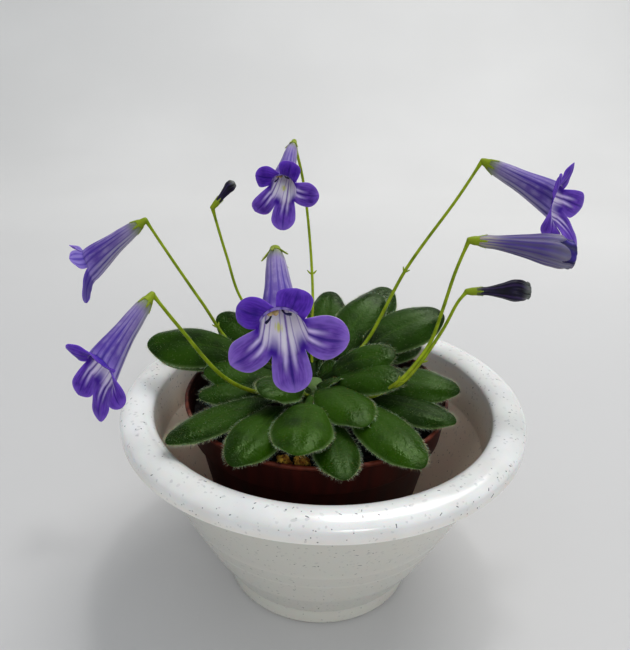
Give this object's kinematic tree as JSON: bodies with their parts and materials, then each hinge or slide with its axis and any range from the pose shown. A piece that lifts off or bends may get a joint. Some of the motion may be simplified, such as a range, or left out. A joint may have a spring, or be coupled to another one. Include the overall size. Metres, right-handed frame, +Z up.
{
  "type": "potted primulina petrocosmeoides",
  "caption": "Potted rosette plant with thick hairy leaves and nodding tubular violet flowers on thin stems, in a nursery pot of soil that stands in a wide-rimmed planter.",
  "frame": {"origin": "middle of the planter's flat underside, on the surface it stands on", "axes": "+Z up, -Y towards the front from which the picture was taken, +X to the right in the picture"},
  "size_m": [0.1797, 0.14, 0.1546],
  "materials": {
    "planter": "glossy white moulded plastic with short grey flecks",
    "nursery_pot": "satin dark terracotta plastic",
    "soil": "damp dark peat crumb",
    "pumice": "matte tan pumice",
    "leaf": "thick green leaf with a soft gloss and fine pale hairs",
    "stem": "yellow-green hairy stem and calyx",
    "petal": "soft violet petal with darker veins and a pale throat",
    "pistil": "tan anther on a cream filament",
    "bud": "dark blue-violet closed bud"
  },
  "bodies": {
    "root": {"planter": "planter", "nursery_pot": "nursery_pot", "potting_soil": "soil", "pumice_granule_1": "pumice", "pumice_granule_2": "pumice", "leaf_rosette": "leaf", "stem_top": "stem", "stem_left_upper": "stem", "stem_left_lower": "stem", "stem_centre": "stem", "stem_right_upper": "stem", "stem_back_left": "stem", "stem_right_middle_and_right_lower": "stem", "corolla_top": "petal", "corolla_left_upper": "petal", "corolla_left_lower": "petal", "corolla_centre": "petal", "corolla_right_upper": "petal", "corolla_right_middle": "petal", "pistil_top": "pistil", "pistil_left_upper": "pistil", "pistil_left_lower": "pistil", "pistil_centre": "pistil", "pistil_right_upper": "pistil", "bud_right_lower": "bud", "bud_back_left": "bud"}
  },
  "joints": []
}
